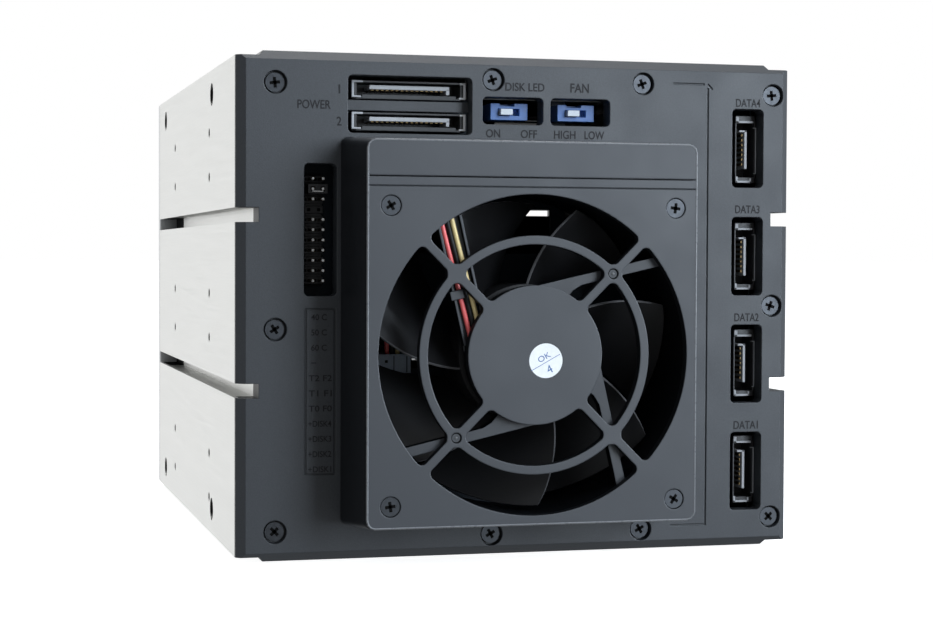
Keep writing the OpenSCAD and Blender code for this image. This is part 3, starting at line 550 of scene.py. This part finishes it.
def make_lead_clip(material):
    """A small tongue of the channel that holds the leads down."""
    build = bmesh.new()
    corners = []
    for along, across in ((17.2, -16.9), (19.5, -16.9), (19.5, -13.4), (17.2, -13.4)):
        for y in (LEADS_Y + 0.62, LEADS_Y + 1.3):
            corners.append(build.verts.new(over_channel(along, across, y)))
    for face in ((0, 2, 4, 6), (1, 7, 5, 3), (0, 1, 3, 2), (2, 3, 5, 4), (4, 5, 7, 6), (6, 7, 1, 0)):
        build.faces.new([corners[i] for i in face])
    bmesh.ops.recalc_face_normals(build, faces=build.faces)
    finish_mesh("lead_clip", build, material, "cage", 0.2)


# ---------------------------------------------------------------- sockets and header

SOCKET_Y = -4.3  # the sockets' mouths
BOARD_Y = -13.0  # rear side of the board
POWER_X = 28.8
POWER_Z = (115.7, 107.8)
DATA_X = -62.0
DATA_Z = tuple(18.5 + 28.02 * i for i in range(TRAY_COUNT))
HEADER_AT = (51.8, 80.7)
HEADER_ROWS = 11
KEY_ROW = 3  # the row without pins
JUMPER_ROW = 1
PIN_PITCH = 2.54


def at_face(ranges, x, z, top=SOCKET_Y, depth=1.0):
    """Boxes from (x0, x1, z0, z1) round a socket's centre, just behind its mouth."""
    return [(x + a, x + b, top - depth, top, z + c, z + d) for a, b, c, d in ranges]


def make_power_sockets(dark, rim, edge, rim_painted_light):
    """Two 15-contact sockets: shell, rims at both ends, tongue and the lower wall's lighter bar. The rims
    and tongues take a grey that paints their edge highlights; the far rims take a near white that paints
    light into their shade.
    """
    wall, lip, far_lip, tongue = [], [], [], []
    for z in POWER_Z:
        wall += [(POWER_X + a, POWER_X + b, BOARD_Y, SOCKET_Y - 0.25, z + c, z + d)
                 for a, b, c, d in ((-14.5, 14.5, 1.75, 2.3), (-14.5, 14.5, -2.35, -1.75),
                                    (-14.5, -13.3, -2.35, 2.3), (13.3, 14.5, -2.35, 2.3))]
        wall.append((POWER_X - 14, POWER_X + 14, BOARD_Y, BOARD_Y + 1.2, z - 2, z + 2))
        lip += at_face([(14.0, 14.6, -1.95, 2.3), (11.7, 14.1, 1.75, 2.3), (12.2, 14.1, -1.95, -1.5)],
                       POWER_X, z)
        far_lip += at_face([(-14.75, -14.15, -2.0, 2.2), (-14.3, -13.2, 1.7, 2.2),
                            (-14.3, -13.0, -2.0, -1.5)], POWER_X, z)
        tongue += at_face([(-10.5, 10.1, 0.1, 1.15), (-10.5, -9.6, -0.95, 0.5)], POWER_X, z, depth=7.0)
        edge_bar = at_face([(-12.3, 12.0, -2.3, -1.15)], POWER_X, z, top=SOCKET_Y - 0.1)
        boxes("power_bar_%d" % round(z), edge_bar, edge, rounding=0.15)
    for name, ranges, material in (("power_shells", wall, dark), ("power_rims", lip, rim),
                                   ("power_far_rims_painted_light", far_lip, rim_painted_light), ("power_tongues", tongue, rim)):
        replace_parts(boxes(name, ranges, material, rounding=0.12), "power_sockets")


def make_data_sockets(dark, rim):
    """Four 7-contact sockets: shell, rims and tongue. The rims and tongue take a grey that paints their
    highlights.
    """
    wall, lip = [], []
    for z in DATA_Z:
        wall += [(DATA_X + a, DATA_X + b, BOARD_Y, SOCKET_Y - 0.3, z + c, z + d)
                 for a, b, c, d in ((-2.9, -2.45, -8.8, 8.8), (2.45, 2.9, -8.8, 8.8),
                                    (-2.9, 2.9, 7.3, 8.8), (-2.9, 2.9, -8.8, -7.3))]
        wall.append((DATA_X - 2.6, DATA_X + 2.6, BOARD_Y, BOARD_Y + 1.2, z - 8, z + 8))
        lip += at_face([(1.9, 2.8, 6.9, 8.6), (-2.1, 2.8, 6.9, 7.45), (2.2, 2.8, -8.75, -7.1),
                        (-1.6, 2.8, -8.75, -8.2), (-1.6, -1.1, -8.75, -7.5)], DATA_X, z)
        lip += at_face([(-2.95, -2.75, -6.3, 5.7), (-2.9, -1.9, 5.55, 5.75), (-2.9, -2.2, -6.4, -6.2)],
                       DATA_X, z, depth=0.4)
        lip += at_face([(-0.3, 0.4, -5.1, 5.0), (-0.3, 1.8, 4.5, 5.0)], DATA_X, z, depth=7.0)
    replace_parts(boxes("data_shells", wall, dark, rounding=0.12), "data_sockets")
    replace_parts(boxes("data_rims", lip, rim, rounding=0.1), "data_sockets")


def header_place(column, row):
    """Where a pin stands, x and z. A column of 0.5 is the middle of a row."""
    return (HEADER_AT[0] + (column - 0.5) * PIN_PITCH,
            HEADER_AT[1] + ((HEADER_ROWS - 1) / 2 - row) * PIN_PITCH)


def make_header(dark, bright):
    """The pin header: its body, painted shade in the seats round the pins, and the pins' bright tips."""
    body, holes, tips = [], [], []
    for row in range(HEADER_ROWS):
        x, z = header_place(0.5, row)
        body.append((x - 2.45, x + 2.45, BOARD_Y, -10.4, z - 1.0, z + 1.0))
        for column in (0, 1):
            x, z = header_place(column, row)
            if row == KEY_ROW:
                holes.append((x - 0.4, x + 0.4, -10.5, -10.38, z - 0.4, z + 0.4))
                continue
            holes.append((x + 0.55, x + 1.25, -10.6, -10.38, z - 0.35, z + 0.35))
            tips.append((x - 0.33, x + 0.33, -5.2, -4.25, z - 0.33, z + 0.33))
    x, z = header_place(0.5, (HEADER_ROWS - 1) / 2)
    body.append((x - 2.2, x + 2.2, BOARD_Y, -10.7, z - 13.9, z + 13.9))
    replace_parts(boxes("header_body", body, dark, rounding=0.25), "pin_header")
    boxes("header_seats_painted_shade", holes, painted_shade_black(), rounding=0)
    boxes("header_tips", tips, bright, rounding=0.2)


def make_jumper(bright):
    """The bright strap that shows in the jumper cap's end."""
    x, z = header_place(0.5, JUMPER_ROW)
    boxes("jumper_strap", [(x - 1.25, x + 1.25, -4.75, -4.52, z - 0.75, z - 0.5),
                           (x - 1.35, x - 1.1, -4.75, -4.52, z - 0.75, z - 0.2),
                           (x + 1.1, x + 1.35, -4.75, -4.52, z - 0.75, z - 0.2)], bright, "jumper", 0.05)


def make_plug_details(dark):
    """The slots and the window in the rear of the leads' plug, as black painted shade."""
    x, z = PLUG_AT
    slots = [(x + a - 0.12, x + a + 0.12, -6.65, -6.57, z - 2.2, z + 2.0) for a in (-4.45, -3.35, 0.0)]
    window = (x + 1.6, x + 2.3, -6.65, -6.57, z + 0.2, z + 0.9)
    boxes("plug_slots_painted_shade", [*slots, window], dark, rounding=0)


# ---------------------------------------------------------------- lettering and small marks


LABEL_TURN = 28.8  # how far the round label is turned, in degrees
SINK = 0.005  # how far lettering reaches into its surface


def make_lettering(letter_shade, blue, white):
    """The generic words on the rear plate and the label, and the numbers on the trays."""
    face = -SINK
    lines = [("POWER", 57.8, 49.5, face, 110.3, 112.5), ("1", 47.55, 47.15, face, 114.2, 116.4),
             ("2", 48.0, 46.8, face, 106.3, 108.5), ("DISK LED", 4.9, -5.4, face, 115.9, 118.0),
             ("FAN", -12.3, -17.2, face, 115.9, 118.2), ("ON", 9.9, 6.2, face, 104.1, 106.2),
             ("OFF", 0.8, -3.5, face, 104.1, 106.2), ("HIGH", -8.0, -13.7, face, 104.1, 106.2),
             ("LOW", -16.1, -21.4, face, 104.1, 106.2)]
    for number, z in zip((4, 3, 2, 1), (113.3, 85.7, 57.6, 29.5)):
        lines.append(("DATA%d" % number, -57.4, -64.2, face, z, z + 2.1))
    rows = [("40 C", 54.3, 50.4), ("50 C", 54.3, 50.4), ("60 C", 54.3, 50.4), ("-", 54.3, 53.0),
            ("T2 F2", 54.9, 49.1), ("T1 F1", 54.9, 49.1), ("T0 F0", 54.9, 49.1),
            ("+DISK4", 55.0, 49.2), ("+DISK3", 55.0, 49.2), ("+DISK2", 55.0, 49.2), ("+DISK1", 55.0, 49.2)]
    for row, (words, left, right) in enumerate(rows):
        z = 59.1 - 3.755 * row
        tall = 0.12 if words == "-" else 0.75
        lines.append((words, left, right, face, z - tall, z + tall))
    # the plate's letters are darker than the plate: painted shade of their engraving
    letters("plate_lettering", lines, letter_shade)
    y = BOX_FRONT_Y - SINK
    label = [("OK", 3.2, -0.1, y, 49.25, 50.65), ("4", 0.85, -0.45, y, 46.05, 48.05)]
    letters("label_lettering", label, blue, height=0.02, weight=0.0, turn=LABEL_TURN)
    build = bmesh.new()
    place = (Matrix.Translation(cage(1.15, BOX_FRONT_Y + SINK, 48.68))
             @ Matrix.Rotation(math.radians(LABEL_TURN), 4, "Y")
             @ Matrix.Diagonal((8.2 * MM, 0.02 * MM, 0.13 * MM, 1)))
    bmesh.ops.create_cube(build, size=1, matrix=place)
    finish_mesh("label_line", build, blue, "cage")
    for tray in range(TRAY_COUNT):
        z = TRAY_FOOT_Z + TRAY_PITCH * tray
        number = (str(tray + 1), 55.6, 57.0, TRAY_FACE_Y - 0.01, z + 13.4, z + 15.6)
        letters("tray_number_%d" % (tray + 1), [number], white, "tray_%d" % (tray + 1), FRONT)


def make_keyholes(material):
    """Painted shade inside each lock's slot, which turns with the lock."""
    for tray in range(TRAY_COUNT):
        z = TRAY_FOOT_Z + TRAY_PITCH * tray + TRAY_MIDDLE_Z
        slot = (LOCK_X - 0.55, LOCK_X + 0.55, TRAY_FACE_Y - 0.55, TRAY_FACE_Y + 2.9, z - 2.15, z + 2.15)
        boxes("keyhole_%d" % (tray + 1), [slot], material, "key_lock_%d" % (tray + 1), rounding=0)


def make_mould_marks(dark, bright):
    """The turned rings and centre points that moulding leaves on two of the guard's joints: the rings are
    black, painted shade, and the points a lighter colour, a painted highlight.
    """
    reach = GUARD_RING_R * math.cos(math.radians(45))
    for name, side in (("mould_mark_low", 1), ("mould_mark_high", -1)):
        x, z = FAN_AT[0] + side * reach, FAN_AT[1] - side * reach
        top = BOX_FRONT_Y - 0.35
        ring = [(1.28, top), (1.28, top + 0.02), (1.02, top + 0.02), (1.02, top)]
        lathe(name, ring + ring[:1], (x, z), dark, "cage", sides=32, smooth=False)
        point = [(0, top + 0.2), (0.3, top + 0.12), (0.42, top), (0, top)]
        lathe(name + "_point", point, (x, z), bright, "cage", sides=24)


def make_box_edge(material):
    """The rounded, shinier edge round the fan box's face; its lighter colour is a painted highlight."""
    centre, size, corner, y = (3.8, 55.65), (82.45, 92.15), 1.9, BOX_FRONT_Y - 0.24
    bead_r, sides = 0.32, 12
    reach = [length / 2 - corner for length in size]  # from the middle to a corner's own centre
    points = []
    for turn in range(0, 360, 90):
        quarter = math.radians(turn + 45)
        corner_x = centre[0] + math.copysign(reach[0], math.cos(quarter))
        corner_z = centre[1] + math.copysign(reach[1], math.sin(quarter))
        for step in (0, 30, 60, 90):
            angle = math.radians(turn + step)
            points.append(cage(corner_x + corner * math.cos(angle), y, corner_z + corner * math.sin(angle)))
    outward = Vector((0, 1, 0))
    build = bmesh.new()
    rings = []
    for i, point in enumerate(points):
        along = (points[(i + 1) % len(points)] - points[i - 1]).normalized()
        across = along.cross(outward)
        rings.append([build.verts.new(point + bead_r * MM * (across * math.cos(2 * math.pi * k / sides)
                                                             + outward * math.sin(2 * math.pi * k / sides)))
                      for k in range(sides)])
    for first, second in zip(rings, rings[1:] + rings[:1]):
        for k in range(sides):
            n = (k + 1) % sides
            build.faces.new((first[k], first[n], second[n], second[k]))
    bmesh.ops.recalc_face_normals(build, faces=build.faces)
    finish_mesh("fan_box_edge", build, material, "cage", smooth=True)


PLATE_SCREWS_AT = ((63.2, 6.3), (63.2, 56.1), (63.2, 116.6), (-67.8, 6.3), (-67.8, 61.6), (-67.8, 116.5),
                   (8.0, 4.1), (8.0, 118.6), (-31.9, 4.1), (-31.9, 118.6))


def make_screw_crosses(material):
    """Painted shade at the bottoms of the screws' cross recesses, each turned its own way."""
    # x, face of the head, z, radius of the head, turn in degrees
    screws = [(x, -1.1, z, 2.35, z * 7) for x, z in PLATE_SCREWS_AT]
    screws += [(FAN_AT[0] + sx * FAN_SCREW_REACH, BOX_FRONT_Y - 0.25, FAN_AT[1] + sz * FAN_SCREW_REACH, 2.3,
                sx * 20 + sz * 12) for sx in (-1, 1) for sz in (-1, 1)]
    build = bmesh.new()
    for x, y, z, radius, turn in screws:
        for quarter in (0, 90):
            place = (Matrix.Translation(cage(x, y - 0.39, z))
                     @ Matrix.Rotation(math.radians(turn + quarter), 4, "Y")
                     @ Matrix.Diagonal((1.08 * radius * MM, 0.8 * MM, 0.33 * radius * MM, 1)))
            bmesh.ops.create_cube(build, size=1, matrix=place)
    finish_mesh("screw_crosses_painted_shade", build, material, "cage")


# ---------------------------------------------------------------- stage


WHITE = (1, 1, 1)
COOL = (0.89, 1.0, 1.12)
WARM = (1, 0.995, 0.98)
FILL = 0.39  # strength of the even light from all round
STAGE_CENTRE = Vector((0, 0.1, 0.06))
MODEL_MIDDLE = (0, 0.06, 0.06)


def area_light(name, place, target, size, power, colour=WHITE):
    """A soft rectangular light that the camera doesn't see, with all its places in metres."""
    data = bpy.data.lights.new(name, "AREA")
    data.shape = "RECTANGLE"
    data.size, data.size_y = size
    data.energy = power
    data.color = colour
    light = bpy.data.objects.new(name, data)
    SCENE.collection.objects.link(light)
    light.location = place
    light.rotation_mode = "QUATERNION"
    light.rotation_quaternion = (Vector(target) - Vector(place)).to_track_quat("-Z", "Y")
    light.visible_camera = False


def make_world():
    """White where the camera looks past the model, and a dim even fill for everything else."""
    world = bpy.data.worlds.new("studio")
    world.use_nodes = True
    tree = world.node_tree
    tree.nodes.clear()
    seen = tree.nodes.new("ShaderNodeBackground")
    seen.inputs["Color"].default_value = (1, 1, 1, 1)
    seen.inputs["Strength"].default_value = 1.0
    fill = tree.nodes.new("ShaderNodeBackground")
    fill.inputs["Color"].default_value = (0.95, 0.98, 1, 1)
    fill.inputs["Strength"].default_value = FILL
    path = tree.nodes.new("ShaderNodeLightPath")
    mix = tree.nodes.new("ShaderNodeMixShader")
    out = tree.nodes.new("ShaderNodeOutputWorld")
    tree.links.new(path.outputs["Is Camera Ray"], mix.inputs[0])
    tree.links.new(fill.outputs[0], mix.inputs[1])
    tree.links.new(seen.outputs[0], mix.inputs[2])
    tree.links.new(mix.outputs[0], out.inputs[0])
    SCENE.world = world


def make_floor():
    """A plain pale floor that takes a soft shadow and reads as white."""
    mesh = bpy.data.meshes.new("floor")
    half = 30.0
    corners = [(-half, -half, 0), (half, -half, 0), (half, half, 0), (-half, half, 0)]
    mesh.from_pydata(corners, [], [(0, 1, 2, 3)])
    floor = bpy.data.objects.new("floor", mesh)
    SCENE.collection.objects.link(floor)
    floor.location.z = -0.0005
    surface = Surface("pale_floor", (0.8, 0.8, 0.8), 0.7, specular=0.0)
    surface.shader.inputs["Emission Color"].default_value = (1, 1, 1, 1)
    surface.shader.inputs["Emission Strength"].default_value = 0.85
    mesh.materials.append(surface.material)
    floor.visible_diffuse = False
    floor.visible_glossy = False


def softbox(name, azimuth, height, distance, size, power, colour):
    """A soft light round the model: azimuth from the rear plate's normal, positive to its +X side."""
    azimuth, height = math.radians(azimuth), math.radians(height)
    flat = distance * math.cos(height)
    place = STAGE_CENTRE + Vector((flat * math.sin(azimuth), flat * math.cos(azimuth),
                                   distance * math.sin(height)))
    area_light(name, place, MODEL_MIDDLE, size, power, colour)


def make_stage():
    """The floor, the even fill and the soft lights."""
    SCENE.view_settings.view_transform = "Standard"
    make_world()
    make_floor()
    softbox("key", -28, 14, 2.0, (0.8, 1.5), 29, COOL)
    softbox("side", -75, 14, 2.0, (0.35, 1.5), 34, COOL)
    softbox("top", -15, 86, 1.6, (1.6, 1.2), 5, WHITE)
    # a narrow strip, behind the rear plate, that draws the bright lines on the edges that face up
    softbox("strip", 170, 70, 1.4, (1.5, 0.2), 10, WHITE)
    # a white wall that the brushed side reflects
    area_light("wall", (0.55, -2.4, 0.3), (0.05, 0, 0.1), (1.7, 2.0), 6.8, WARM)


make_camera()
materials = make_materials()
dress_cad_nodes(materials)
make_rotor(materials["blade_plastic"], smooth("blade_edge_painted_highlight", (0.10, 0.10, 0.105), 0.45))
make_leads((("lead_red", materials["lead_insulation"]),
            ("lead_black", smooth("lead_black", (0.006, 0.006, 0.006), 0.5, specular=0.25)),
            ("lead_yellow", smooth("lead_yellow", (0.86, 0.68, 0.32), 0.35))))
make_lead_clip(materials["fan_plastic"])
# a lighter grey that paints the highlights on the sockets' black rims and tongues
rim_painted_highlight_grey = smooth("socket_rim", (0.42, 0.43, 0.45), 0.4)
make_power_sockets(materials["socket_black"], rim_painted_highlight_grey, smooth("socket_edge", (0.045, 0.047, 0.05), 0.55),
                   smooth("socket_rim_painted_light", (0.9, 0.91, 0.93), 0.4))
make_data_sockets(materials["socket_black"], rim_painted_highlight_grey)
bright = smooth("pin_tin", (0.95, 0.95, 0.95), 0.45, specular=1.0)
make_header(smooth("header_nylon", (0.03, 0.03, 0.032), 0.5), bright)
make_jumper(bright)
make_plug_details(painted_shade_black())
make_screw_crosses(painted_shade_black())
make_box_edge(smooth("box_edge_painted_highlight", (0.14, 0.146, 0.156), 0.3))
make_mould_marks(painted_shade_black(), smooth("mould_point_painted_highlight", (0.10, 0.105, 0.11), 0.3))
make_lettering(smooth("engraved_letters_painted_shade", (0.010, 0.010, 0.012), 0.6, specular=0.3),
               smooth("label_ink", (0.05, 0.14, 0.36), 0.5), materials["label_film"])
make_keyholes(painted_shade_black())
make_stage()
